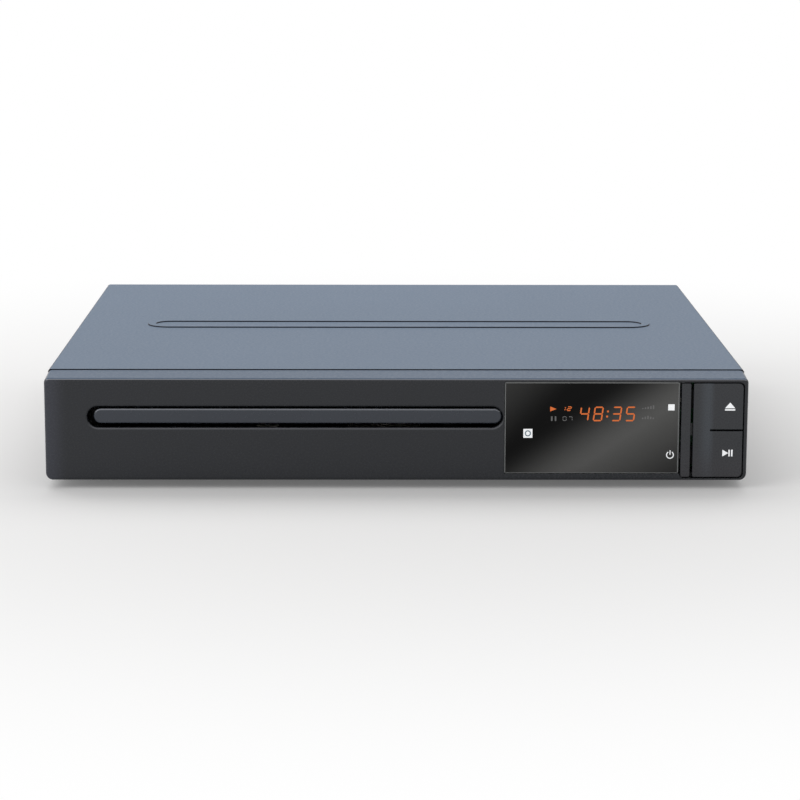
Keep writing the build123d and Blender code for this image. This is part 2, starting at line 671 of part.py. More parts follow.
def cam_slider():
    """A sliding plate whose slanted slot lifts and lowers the traverse."""
    plate = block(-75, -10, 46.1, 48.4, 6.15, 18.3)
    drop = (HINGE_AT[0] - 47.2) * math.sin(math.radians(HINGE_DROP_ANGLE))
    ends = [(PEG_AT_X, PEG_Z), (PEG_AT_X + CAM_TRAVEL, PEG_Z - drop)]
    length = math.dist(*ends) + 2 * PEG_R + 0.6
    lean = math.degrees(math.atan2(drop, CAM_TRAVEL))
    plane = facing_front((ends[0][0] + ends[1][0]) / 2, 45, (ends[0][1] + ends[1][1]) / 2)
    # the plane's own y points down, so a positive turn leans the slot down to the right
    slot = Rot(0, 0, lean) * SlotOverall(length, 2 * PEG_R + 0.5)
    plate -= extrude(plane * slot, 5)
    return plate


# ---------------------------------------------------------------- traverse
def traverse_frame():
    x0, x1 = TRAY_X - TRAVERSE_HALF, TRAY_X + TRAVERSE_HALF
    frame = block(x0, x1, *TRAVERSE_Y, *TRAVERSE_Z)
    frame -= block(TRAY_X - 18.5, TRAY_X + 18.5, 88, 152, 13, 17)
    # the gap that the sled gear's shaft and hub turn in
    gear_x = sled_gear_x()
    frame -= rod_z(6.6, 13, 17, gear_x, SLED_GEAR_Y)
    frame += block(PEG_AT_X - 6, PEG_AT_X + 6, 50, 52.5, 14, 19.5)
    frame += rod_y(PEG_R, 45.6, 50.5, PEG_AT_X, PEG_Z)
    for side in (-1, 1):
        x = TRAY_X + side * ROD_X
        for y in (84.2, 152.8):
            lug = block(x - 2.1, x + 2.1, y, y + 2.6, 15.9, 20.6)
            frame += lug - rod_y(ROD_R + 0.03, y - 1, y + 4, x, ROD_Z)
        arm_in, arm_out = sorted((TRAY_X + side * 31, TRAY_X + side * 37))
        frame += block(arm_in, arm_out, 152, 164, 9.5, 15.0)
        pin_in, pin_out = sorted((TRAY_X + side * 36, TRAY_X + side * 42.6))
        frame += rod_x(HINGE_PIN_R, pin_in, pin_out, *HINGE_AT)
    # a bridge under the sled gear, and pillars for the sled motor
    frame += block(gear_x - 3, gear_x + 3, SLED_GEAR_Y + 13.4, SLED_GEAR_Y + 16, 8.9, 14.5)
    frame += block(gear_x - 3, gear_x + 3, SLED_GEAR_Y - 3, SLED_GEAR_Y + 16, 8.9, 10.2)
    frame += rod_z(1.2, 10.1, 20.0, gear_x, SLED_GEAR_Y)
    x, y = sled_motor_centre()
    for dy in (-5.5, 5.5):
        frame += block(x - 12.5, x - 8.8, y + dy - 1.5, y + dy + 1.5, 10.4, 14.5)
        frame += block(TRAY_X - 19, x - 8.8, y + dy - 1.5, y + dy + 1.5, 12.5, 14.5)
    return frame


def sled_gear_x():
    return TRAY_X + SLED_RACK_X + SLED_MODULE * SLED_PINION_TEETH / 2


def sled_motor_centre():
    reach = SLED_MODULE * (SLED_WHEEL_TEETH + SLED_PINION_TEETH) / 2
    x = sled_gear_x() + reach * math.cos(SLED_MOTOR_DIRECTION)
    y = SLED_GEAR_Y + reach * math.sin(SLED_MOTOR_DIRECTION)
    return (x, y)


def spindle_motor():
    body = rod_z(12.5, TRAVERSE_Z[1], 17.0, TRAY_X, SPINDLE_Y)
    body += rod_z(11.0, 16.9, 21.6, TRAY_X, SPINDLE_Y)
    return body - rod_z(0.85, 17.5, 23, TRAY_X, SPINDLE_Y)


def turntable():
    """The disc seat with its centring cone, on the motor's shaft."""
    seat = rod_z(14.0, 22.4, SEAT_Z, TRAY_X, SPINDLE_Y)
    seat -= tube_z(13.0, 10.0, SEAT_Z - 0.4, SEAT_Z + 1, TRAY_X, SPINDLE_Y)
    cone = Pos(TRAY_X, SPINDLE_Y, SEAT_Z + 0.9) * Cone(7.4, 6.2, 1.8)
    shaft = rod_z(0.8, 18.0, 22.6, TRAY_X, SPINDLE_Y)
    return seat + cone + shaft


def guide_rods():
    pieces = []
    for side in (-1, 1):
        pieces.append(rod_y(ROD_R, 83.6, 156.0, TRAY_X + side * ROD_X, ROD_Z))
    return join(pieces)


def pickup_body():
    """The die-cast sled of the laser pickup, with two rod eyes and a rack."""
    y0, y1 = PICKUP_Y
    body = block(TRAY_X - 18, TRAY_X + 18, y0, y1, 16.3, 21.6)
    for side in (-1, 1):
        x = TRAY_X + side * ROD_X
        body += rod_y(2.9, y0 + 1, y1 - 1, x, ROD_Z) & block(x - 5, x + 5, y0, y1, 16.3, 22)
        body += block(min(x, TRAY_X + side * 17), max(x, TRAY_X + side * 17), y0 + 1, y1 - 1, 16.3, 20)
    for side in (-1, 1):
        body -= rod_y(ROD_R + 0.05, y0 - 1, y1 + 1, TRAY_X + side * ROD_X, ROD_Z)
    rack_x = TRAY_X + SLED_RACK_X
    reach = SLED_GEAR_Y - SLED_TRAVEL - 2
    body += rack(SLED_MODULE, rack_x, rack_x - 3.4, reach, y1 + 4, SLED_GEAR_Y, 16.9, 19.1)
    # the well that the lens holder floats in
    body -= block(TRAY_X - 8, TRAY_X + 8, LENS_Y - 7, LENS_Y + 7, 18.0, 23)
    return body


def lens_holder():
    """The lens carrier with its lens, floating in the pickup."""
    holder = block(TRAY_X - 6, TRAY_X + 6, LENS_Y - 5, LENS_Y + 5, 19.2, 22.2)
    lens = rod_z(3.6, 22.1, 22.8, TRAY_X, LENS_Y) - rod_z(2.5, 22.5, 24, TRAY_X, LENS_Y)
    return holder + lens


def pickup_lens():
    lens = rod_z(2.5, 22.5, 22.8, TRAY_X, LENS_Y)
    return fillet(lens.edges().sort_by(Axis.Z)[-1], 0.25)


def sled_gear():
    """A small pinion for the pickup's rack above a larger wheel."""
    x = sled_gear_x()
    turn = math.pi + math.pi / SLED_PINION_TEETH
    body = gear(SLED_MODULE, SLED_WHEEL_TEETH, SLED_MOTOR_DIRECTION, 10.9, 13.2, x, SLED_GEAR_Y)
    body += rod_z(3.4, 13.1, 16.9, x, SLED_GEAR_Y)
    body += gear(SLED_MODULE, SLED_PINION_TEETH, turn, 16.8, 19.4, x, SLED_GEAR_Y)
    return body - rod_z(1.25, 10, 20, x, SLED_GEAR_Y)


def sled_pinion():
    x, y = sled_motor_centre()
    turn = SLED_MOTOR_DIRECTION + math.pi + math.pi / SLED_PINION_TEETH
    body = gear(SLED_MODULE, SLED_PINION_TEETH, turn, 10.9, 13.2, x, y)
    return body - rod_z(0.8, 10, 14, x, y)


def sled_motor():
    x, y = sled_motor_centre()
    can = rod_z(8.5, 7.0, 10.0, x, y)
    plate = block(x - 12.5, x - 5, y - 7, y + 7, 10.0, 10.4)
    hub = rod_z(2.0, 9.9, 10.6, x, y)
    return can + plate + hub + rod_z(0.75, 10.5, 13.6, x, y)


# ---------------------------------------------------------------- clamp
def clamp_bridge():
    """The steel strip over the tray that the disc clamp hangs in."""
    x0, x1 = TRAY_X - LOADER_HALF, TRAY_X + LOADER_HALF
    bridge = block(x0, x1, SPINDLE_Y - 22, SPINDLE_Y + 22, LOADER_TOP, LOADER_TOP + 0.9)
    for side in (-1, 1):
        for dy in (-22, 19.5):
            low, high = sorted((TRAY_X + side * 24, TRAY_X + side * 58))
            bridge += block(low, high, SPINDLE_Y + dy, SPINDLE_Y + dy + 2.5, LOADER_TOP, LOADER_TOP + 2)
    return bridge - rod_z(13.0, LOADER_TOP - 1, LOADER_TOP + 3, TRAY_X, SPINDLE_Y)


def disc_clamp():
    puck = rod_z(12.4, 26.5, 30.7, TRAY_X, SPINDLE_Y)
    puck += rod_z(15.5, 30.5, 31.7, TRAY_X, SPINDLE_Y)
    puck -= rod_z(8.2, 26, 28.4, TRAY_X, SPINDLE_Y)
    return puck - rod_z(9.2, 31.0, 32, TRAY_X, SPINDLE_Y)


def clamp_yoke():
    return rod_z(9.0, 31.0, 32.2, TRAY_X, SPINDLE_Y)


# ---------------------------------------------------------------- electronics
def circuit_board(area):
    x0, x1, y0, y1 = area
    board = block(x0, x1, y0, y1, *BOARD_Z)
    for x in (x0 + 5, x1 - 5):
        for y in (y0 + 5, y1 - 5):
            board -= rod_z(1.6, 8, 12, x, y)
    return board


def board_screws():
    pieces = []
    for x0, x1, y0, y1 in (MAIN_BOARD_AREA, POWER_BOARD_AREA, AV_BOARD_AREA):
        for x in (x0 + 5, x1 - 5):
            for y in (y0 + 5, y1 - 5):
                pieces.append(screw_down(x, y, BOARD_Z[1], 5.2, 1.1, 2.5, 1.3))
    return join(pieces)


def main_chips():
    """Decoder, memory and motor driver chips on the main board."""
    top = BOARD_Z[1]
    pieces = [block(66, 88, 58, 80, top, top + 1.6)]
    pieces.append(block(92, 103, 58, 80, top, top + 1.2))
    pieces.append(block(54, 62, 62, 76, top, top + 1.2))
    pieces.append(block(60, 76, 92, 102, top, top + 2.2))
    return join(pieces)


def main_capacitors():
    pieces = []
    for x, y in ((84, 94), (92, 94), (100, 94), (58, 44), (66, 44), (74, 44)):
        pieces.append(rod_z(3.0, BOARD_Z[1], BOARD_Z[1] + 7, x, y))
    return join(pieces)


def power_transformer():
    """A laminated core round a wound coil."""
    top = BOARD_Z[1]
    core = block(66, 90, 140, 162, top, top + 6) + block(66, 90, 140, 162, top + 12, top + 18)
    core += block(66, 70, 140, 162, top, top + 18) + block(86, 90, 140, 162, top, top + 18)
    return core + front_plate(69.9, 86.1, top + 5.9, top + 12.1, 137, 165, 1.5)


def power_capacitors():
    pieces = [rod_z(8.0, BOARD_Z[1], BOARD_Z[1] + 20, 99, 140)]
    for x, y in ((54, 128), (54, 140), (54, 152)):
        pieces.append(rod_z(4.5, BOARD_Z[1], BOARD_Z[1] + 13, x, y))
    return join(pieces)


def mains_inlet():
    """A two-pin figure-of-eight inlet in the rear panel."""
    y0, y1 = 183.0, REAR_PANEL_Y[1] + 0.4
    body = front_plate(INLET_X - 9.9, INLET_X + 9.9, INLET_Z - 6.4, INLET_Z + 6.4, y0, y1, 2.0)
    body += block(INLET_X - 9.9, INLET_X + 9.9, y0, 192, BOARD_Z[1], INLET_Z)
    recess = front_slot(INLET_X - 7.9, INLET_X + 7.9, INLET_Z - 4.1, INLET_Z + 4.1, 186.5, y1 + 1)
    return body - recess


def inlet_pins():
    pieces = []
    for x in (INLET_X - 4.3, INLET_X + 4.3):
        pin = rod_y(1.2, 186.5, 197.0, x, INLET_Z)
        pieces.append(fillet(pin.edges().sort_by(Axis.Y)[-1], 0.6))
    return join(pieces)


def scart_socket():
    """A 21-way audio and video socket: a shroud round a slotted block."""
    y1 = REAR_PANEL_Y[1] + 2.0
    shell = front_plate(SCART_X - 24.9, SCART_X + 24.9, SCART_Z - 7.4, SCART_Z + 7.4, 184, y1, 0.6)
    groove = front_plate(SCART_X - 23.6, SCART_X + 23.6, SCART_Z - 6.2, SCART_Z + 6.2, 187, y1 + 1, 0.5)
    groove -= front_plate(SCART_X - 21.8, SCART_X + 21.8, SCART_Z - 4.6, SCART_Z + 4.6, 186, y1 + 2, 0.5)
    shell -= groove
    for column in range(10):
        x = SCART_X - 18.8 + column * 3.9
        shell -= block(x, x + 1.0, 189, y1 + 1, SCART_Z + 0.8, SCART_Z + 3.8)
        shell -= block(x + 1.9, x + 2.9, 189, y1 + 1, SCART_Z - 3.8, SCART_Z - 0.8)
    return shell + block(SCART_X - 24.9, SCART_X + 24.9, 184, 195, BOARD_Z[1], SCART_Z)


def hdmi_socket():
    y1 = REAR_PANEL_Y[1] + 0.6
    z0, z1 = 11.0, 17.0
    shell = block(HDMI_X - 7.6, HDMI_X + 7.6, 187, y1, z0, z1)
    mouth = block(HDMI_X - 7.1, HDMI_X + 7.1, 188.5, y1 + 1, z0 + 0.5, z1 - 0.5)
    tongue = block(HDMI_X - 5.8, HDMI_X + 5.8, 188, y1 - 1.5, z0 + 2.4, z1 - 2.6)
    shell -= mouth
    shell += tongue
    return shell + block(HDMI_X - 7.6, HDMI_X + 7.6, 188, 196, BOARD_Z[1], z0 + 0.2)


def rca_housing():
    """The moulded block behind the panel that the three jacks sit in."""
    body = block(RCA_XS[0] - 6, RCA_XS[-1] + 6, 184, REAR_PANEL_Y[0], BOARD_Z[1], RCA_Z + 6)
    for x in RCA_XS:
        body -= rod_y(4.2, 190, 200, x, RCA_Z)
    return body


def rca_jacks():
    pieces = []
    for x in RCA_XS:
        jack = rod_y(4.15, 190.0, CASE_DEPTH + JACK_REACH, x, RCA_Z)
        jack -= rod_y(3.2, 196.0, CASE_DEPTH + JACK_REACH + 1, x, RCA_Z)
        pieces.append(jack)
    return join(pieces)


def rca_inserts():
    """Coloured insulators inside the jacks, each with its contact hole."""
    pieces = []
    for x in RCA_XS:
        insert = rod_y(3.15, 196.0, CASE_DEPTH + JACK_REACH - 1.0, x, RCA_Z)
        insert -= rod_y(1.7, 198.0, CASE_DEPTH + JACK_REACH, x, RCA_Z)
        pieces.append(insert)
    return join(pieces)


def cover_screws():
    pieces = [screw_forward(x, 33.0, CASE_DEPTH, 197.0, 1.05, 2.8, 1.4) for x in COVER_SCREWS_X]
    return join(pieces)


def ribbon(points, width_x, thickness=0.6):
    """A flat cable in the YZ plane: a bent strip, width_x wide along X."""
    centre = Polyline(*points)
    strip = offset(centre, thickness / 2, side=Side.BOTH)
    face = make_face(strip)
    x0, x1 = width_x
    return Pos(x0, 0, 0) * extrude(Plane.YZ * face, x1 - x0)


def front_ribbon():
    """From the front board down to the main board."""
    start = FRONT_BOARD_Y + BOARD_T + 0.31
    points = [(start, 26), (17, 26), (20, 22), (20, 16), (32, 12.5), (32, BOARD_Z[1] + 0.31)]
    return ribbon(points, (62, 80))


# ---------------------------------------------------------------- output
NODES = {
    "front_bezel": front_bezel,
    "top_cover": top_cover,
    "base_chassis": base_chassis,
    "rear_panel": rear_panel,
    "feet": feet,
    "display_window": display_window,
    "key_carrier": key_carrier,
    "stop_key": stop_key,
    "power_key": power_key,
    "eject_key": eject_key,
    "play_pause_key": play_pause_key,
    "tact_switches": tact_switches,
    "stop_plunger": lambda: plunger("stop"),
    "power_plunger": lambda: plunger("power"),
    "eject_plunger": lambda: plunger("eject"),
    "play_pause_plunger": lambda: plunger("play_pause"),
    "front_board": front_board,
    "front_board_screws": front_board_screws,
    "display_module": display_module,
    "ir_receiver": ir_receiver,
    "loader_frame": loader_frame,
    "chassis_screws": chassis_screws,
    "disc_tray": disc_tray,
    "tray_door": tray_door,
    "tray_drive_gear": tray_drive_gear,
    "pulley_gear": pulley_gear,
    "motor_pulley": motor_pulley,
    "drive_belt": drive_belt,
    "loading_motor": loading_motor,
    "cam_slider": cam_slider,
    "traverse_frame": traverse_frame,
    "spindle_motor": spindle_motor,
    "turntable": turntable,
    "guide_rods": guide_rods,
    "pickup_body": pickup_body,
    "lens_holder": lens_holder,
    "pickup_lens": pickup_lens,
    "sled_gear": sled_gear,
    "sled_pinion": sled_pinion,
    "sled_motor": sled_motor,
    "clamp_bridge": clamp_bridge,
    "disc_clamp": disc_clamp,
    "clamp_yoke": clamp_yoke,
    "main_board": lambda: circuit_board(MAIN_BOARD_AREA),
    "power_board": lambda: circuit_board(POWER_BOARD_AREA),
    "av_board": lambda: circuit_board(AV_BOARD_AREA),
    "board_screws": board_screws,
    "main_chips": main_chips,
    "main_capacitors": main_capacitors,
    "power_transformer": power_transformer,
    "power_capacitors": power_capacitors,
    "mains_inlet": mains_inlet,
    "inlet_pins": inlet_pins,
    "scart_socket": scart_socket,
    "hdmi_socket": hdmi_socket,
    "rca_housing": rca_housing,
    "rca_jacks": rca_jacks,
    "rca_inserts": rca_inserts,
    "cover_screws": cover_screws,
    "front_ribbon": front_ribbon,
}


def place(shape):
    """Move a piece from the front-face frame to the object's own frame."""
    return Pos(0, -WHOLE_DEPTH / 2, 0) * shape


os.makedirs("parts", exist_ok=True)
for node, make in NODES.items():
    export_step(place(make()), "parts/" + node + ".step")
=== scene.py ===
import json
import math

import bmesh
import bpy
from mathutils import Matrix, Vector


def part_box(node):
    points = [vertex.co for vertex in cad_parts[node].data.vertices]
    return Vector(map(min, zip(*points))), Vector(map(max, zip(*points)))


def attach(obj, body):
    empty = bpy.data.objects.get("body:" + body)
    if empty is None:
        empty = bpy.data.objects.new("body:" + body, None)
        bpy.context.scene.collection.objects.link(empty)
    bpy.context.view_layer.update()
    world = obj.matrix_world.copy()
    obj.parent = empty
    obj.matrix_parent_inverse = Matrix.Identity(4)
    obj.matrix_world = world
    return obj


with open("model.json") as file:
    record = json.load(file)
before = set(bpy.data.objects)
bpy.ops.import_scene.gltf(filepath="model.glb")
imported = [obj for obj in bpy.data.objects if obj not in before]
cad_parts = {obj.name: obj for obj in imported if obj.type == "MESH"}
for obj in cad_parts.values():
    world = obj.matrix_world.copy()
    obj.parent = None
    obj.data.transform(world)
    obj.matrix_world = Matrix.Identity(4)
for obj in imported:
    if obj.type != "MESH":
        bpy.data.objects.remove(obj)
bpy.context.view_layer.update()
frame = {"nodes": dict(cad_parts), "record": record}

# A compact disc player with a tray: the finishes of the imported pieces, the lit and
# printed marks on its front, the studio and the camera.  Values times MM are millimetres
# turned into metres.  The player's middle is at x = 0, and its feet stand on z = 0.
MM = 0.001
FRONT_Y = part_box("front_bezel")[0].y
NODES = frame["nodes"]


def lin(r, g, b):
    """An sRGB colour of 0 to 255 as linear values."""
    def one(value):
        value /= 255
        return value / 12.92 if value <= 0.04045 else ((value + 0.055) / 1.055) ** 2.4
    return (one(r), one(g), one(b), 1.0)


def scaled(colour, factor):
    return tuple(channel * factor for channel in colour[:3]) + (1.0,)


WHITE = (1.0, 1.0, 1.0, 1.0)
# the slate of the upward faces is partly the coating's colour and partly painted sheen
SLATE_AND_SHEEN = lin(102, 117, 136)
STRIP_SLATE_AND_SHEEN = lin(76, 92, 112)
FOLDED_SIDE_SHADE = lin(38, 35, 36)
FOLDED_SIDE_SHADE_PALER = lin(46, 43, 44)
CUT_EDGE_SEAM_SHADE = lin(26, 28, 32)
GRAPHITE = lin(38, 40, 44)
GRAPHITE_PAINTED_LIGHT = lin(58, 60, 68)
EDGE_HIGHLIGHT = lin(150, 151, 157)
SLOT_LIP_HIGHLIGHT = lin(104, 105, 110)
TRAY_GREY = lin(48, 53, 62)
TRAY_EDGE_HIGHLIGHT = lin(150, 153, 160)
SMOKE = lin(4, 4, 4)
SMOKE_REFLECTION = lin(94, 94, 93)
PANE_EDGE_HIGHLIGHT = lin(150, 152, 152)
KEY_GREY = lin(46, 48, 52)
KEY_BEND_HIGHLIGHT = lin(66, 71, 77)
KEY_FOOT_LIGHT = lin(58, 57, 61)
LIT_ORANGE = lin(214, 108, 48)
UNLIT_GREY = lin(106, 106, 106)
MARK_WHITE = lin(246, 248, 250)
RING_GREY = lin(120, 140, 150)


# ---------------------------------------------------------------- material helpers
class Tree:
    """A material's node tree, with short calls for the nodes that it needs."""

    def __init__(self, name):
        self.material = bpy.data.materials.new(name)
        self.material.use_nodes = True
        self.nodes = self.material.node_tree.nodes
        self.links = self.material.node_tree.links
        self.shader = self.nodes["Principled BSDF"]
        self.place = self.nodes.new("ShaderNodeTexCoord").outputs["Object"]

    def feed(self, socket, value):
        """Links a node's output to the socket, or sets a plain value on it."""
        if isinstance(value, bpy.types.NodeSocket):
            self.links.new(value, socket)
        else:
            socket.default_value = value

    def node(self, kind, inputs, **settings):
        made = self.nodes.new(kind)
        for key, value in settings.items():
            setattr(made, key, value)
        for socket, value in inputs.items():
            self.feed(made.inputs[socket], value)
        return made

    def set(self, **values):
        """Sets the shader's sockets, whose names are written with _ for each space."""
        for key, value in values.items():
            self.feed(self.shader.inputs[key.replace("_", " ")], value)

    def noise(self, scale, detail=2.0, rough=0.5, stretch=(1, 1, 1)):
        """Noise from 0 to 1.  A larger stretch makes it finer along that axis."""
        where = self.node("ShaderNodeMapping", {"Vector": self.place, "Scale": stretch})
        inputs = {"Vector": where.outputs[0], "Scale": scale, "Detail": detail, "Roughness": rough}
        return self.node("ShaderNodeTexNoise", inputs).outputs["Fac"]

    def cells(self, scale):
        """The distance to the middle of the nearest of many scattered cells."""
        inputs = {"Vector": self.place, "Scale": scale}
        return self.node("ShaderNodeTexVoronoi", inputs).outputs["Distance"]

    def math(self, operation, a, b=0.0):
        return self.node("ShaderNodeMath", {0: a, 1: b}, operation=operation).outputs[0]

    def times(self, a, b):
        return self.math("MULTIPLY", a, b)

    def minus(self, a, b):
        return self.math("SUBTRACT", a, b)

    def span(self, value, low, high, to_low=0.0, to_high=1.0, smooth=True):
        """value, from low to high, mapped to to_low to to_high and held beyond."""
        kind = "SMOOTHSTEP" if smooth else "LINEAR"
        inputs = {"Value": value, "From Min": low, "From Max": high, "To Min": to_low, "To Max": to_high}
        return self.node("ShaderNodeMapRange", inputs, interpolation_type=kind).outputs[0]

    def mix(self, factor, a, b):
        """The colour a where the factor is 0, and b where it is 1."""
        factor_socket, a_socket, b_socket, result = 0, 6, 7, 2
        inputs = {factor_socket: factor, a_socket: a, b_socket: b}
        return self.node("ShaderNodeMix", inputs, data_type="RGBA").outputs[result]

    def parts(self, vector):
        x, y, z = self.node("ShaderNodeSeparateXYZ", {0: vector}).outputs
        return x, y, z

    def axes(self):
        """The x, y and z of the place on the piece, in metres."""
        return self.parts(self.place)

    def normal(self):
        """The x, y and z of the direction that the surface faces."""
        return self.parts(self.node("ShaderNodeNewGeometry", {}).outputs["Normal"])

    def bump(self, height, distance):
        inputs = {"Height": height, "Distance": distance}
        self.set(Normal=self.node("ShaderNodeBump", inputs).outputs[0])


def moulded(name, colour, roughness, grain, depth, shift, specular):
    """Moulded plastic or rubber: a fine grain, with slight changes of shade and gloss."""
    tree = Tree(name)
    broad = tree.noise(45, 3)
    fine = tree.noise(grain, 3, 0.6)
    shade = tree.mix(broad, scaled(colour, 1 - shift), scaled(colour, 1 + shift))
    tree.set(Base_Color=shade, Specular_IOR_Level=specular)
    tree.set(Roughness=tree.span(fine, 0.3, 0.7, roughness - 0.05, roughness + 0.06))
    tree.bump(fine, depth)
    return tree.material


def sheet_metal(name, colour, roughness, stretch):
    """Plated sheet metal or a casting, with fine lines and a faint spangle."""
    tree = Tree(name)
    lines = tree.noise(420, 4, 0.6, stretch)
    spangle = tree.span(tree.cells(160), 0.0, 0.9, 0.0, 0.22)
    shade = tree.mix(lines, scaled(colour, 0.82), scaled(colour, 1.08))
    shade = tree.mix(spangle, shade, scaled(colour, 0.7))
    tree.set(Base_Color=shade, Metallic=0.95)
    tree.set(Roughness=tree.span(lines, 0.2, 0.8, roughness - 0.08, roughness + 0.10))
    tree.bump(lines, 0.01 * MM)
    return tree.material


def turned_metal(name, colour, roughness):
    """Drawn or turned metal, with lines round the part."""
    tree = Tree(name)
    lines = tree.noise(900, 3, 0.7, (0.3, 0.3, 6))
    marks = tree.noise(120, 2)
    tree.set(Base_Color=tree.mix(marks, scaled(colour, 0.85), scaled(colour, 1.05)), Metallic=1.0)
    tree.set(Roughness=tree.span(lines, 0.3, 0.7, roughness - 0.06, roughness + 0.12))
    tree.bump(lines, 0.006 * MM)
    return tree.material


# ---------------------------------------------------------------- finishes of the outside
def powder_coat(tree, colour):
    """The shade and fine peel of the slate coating on the cover and the bezel's top; the slate is partly the
    coating's colour and partly painted sheen.
    """
    peel = tree.noise(1100, 2, 0.5)
    cloud = tree.noise(14, 3, 0.55)
    speck = tree.span(tree.cells(1500), 0.0, 0.35, 1.0, 0.0)
    shade = tree.mix(cloud, scaled(colour, 0.95), scaled(colour, 1.05))
    shade = tree.mix(tree.times(speck, 0.16), shade, scaled(colour, 1.5))
    return shade, peel


def cover_paint():
    """The slate coating on top is partly painted sheen.  The folded sides are dark with painted shade and
    dark reflection, and the cut front edge with painted shade at the seam.
    """
    tree = Tree("cover_paint")
    painted, peel = powder_coat(tree, SLATE_AND_SHEEN)
    cloud = tree.noise(30, 3)
    # painted shade and dark reflection: the folded sides, away from the upward faces, are a dark brownish
    # grey
    dark = tree.mix(cloud, FOLDED_SIDE_SHADE, FOLDED_SIDE_SHADE_PALER)
    _, towards_back, up = tree.normal()
    facing_up = tree.span(up, 0.84, 0.96)
    # painted shade: the edge facing the seam is dark, so the seam between cover and bezel reads as a dark
    # line
    facing_front = tree.span(towards_back, -0.5, -0.9)
    shade = tree.mix(facing_up, dark, painted)
    shade = tree.mix(facing_front, shade, CUT_EDGE_SEAM_SHADE)
    tree.set(Base_Color=shade, Specular_IOR_Level=0.12)
    tree.set(Roughness=tree.span(peel, 0.3, 0.7, 0.46, 0.58))
    tree.bump(peel, 0.012 * MM)
    return tree.material


def bezel_plastic():
    """Graphite plastic.  Its upper face wears the cover's slate, partly painted sheen, up to a pale painted
    highlight along the edge.
    """
    tree = Tree("bezel_plastic")
    painted, peel = powder_coat(tree, STRIP_SLATE_AND_SHEEN)
    broad = tree.noise(22, 3)
    fine = tree.noise(1500, 3, 0.6)
    x, y, z = tree.axes()
    aside, _, up = tree.normal()

    # painted light: the front face is a little paler towards its foot and its left end
    graphite = tree.mix(tree.span(z, 4 * MM, 33 * MM), scaled(GRAPHITE, 1.1), GRAPHITE)
    lit_left_end = tree.span(x, -105 * MM, -111.5 * MM)
    graphite = tree.mix(lit_left_end, graphite, GRAPHITE_PAINTED_LIGHT)
    plain = tree.mix(tree.times(broad, 0.12), graphite, scaled(GRAPHITE, 1.5))

    # the slate, partly painted sheen, and a painted highlight along its front edge are at the top, and stop
    # short of the two ends
    near_top = tree.span(z, 33.5 * MM, 34.5 * MM)
    near_top = tree.times(near_top, tree.span(tree.math("ABSOLUTE", aside), 0.55, 0.4))
    coat_and_sheen = tree.times(tree.span(up, 0.60, 0.66), near_top)
    # painted highlight: a pale line on the front edge below the slate
    edge_highlight = tree.times(tree.span(up, 0.42, 0.5), near_top)
    shade = tree.mix(tree.times(edge_highlight, 0.9), plain, EDGE_HIGHLIGHT)

    # painted highlight: the lower lip of the tray slot is paler
    lip = tree.times(tree.span(up, 0.25, 0.7), tree.span(z, 24 * MM, 23 * MM))
    lip = tree.times(lip, tree.span(y, FRONT_Y + 1.0 * MM, FRONT_Y + 0.6 * MM))
    shade = tree.mix(tree.times(lip, 0.8), shade, SLOT_LIP_HIGHLIGHT)

    tree.set(Base_Color=tree.mix(coat_and_sheen, shade, painted), Specular_IOR_Level=0.32)
    gloss = tree.span(fine, 0.3, 0.7, 0.22, 0.30)
    matt = tree.span(peel, 0.3, 0.7, 0.46, 0.58)
    tree.set(Roughness=tree.mix(coat_and_sheen, gloss, matt))
    tree.bump(fine, 0.003 * MM)
    return tree.material


def tray_plastic():
    """Satin blue-grey plastic, with a painted highlight on the upper edge of the tray's front bar."""
    tree = Tree("tray_plastic")
    broad = tree.noise(45, 3)
    fine = tree.noise(900, 3, 0.6)
    _, y, _ = tree.axes()
    _, _, up = tree.normal()
    shade = tree.mix(broad, scaled(TRAY_GREY, 0.95), scaled(TRAY_GREY, 1.05))
    # painted highlight: a pale line along the upper edge of the front bar
    at_front = tree.span(y, FRONT_Y + 1.6 * MM, FRONT_Y + 1.2 * MM)
    upper_edge_highlight = tree.times(tree.span(up, 0.3, 0.6), at_front)
    shade = tree.mix(tree.times(upper_edge_highlight, 0.9), shade, TRAY_EDGE_HIGHLIGHT)
    tree.set(Base_Color=shade, Specular_IOR_Level=0.45)
    tree.set(Roughness=tree.span(fine, 0.3, 0.7, 0.20, 0.28))
    tree.bump(fine, 0.002 * MM)
    return tree.material


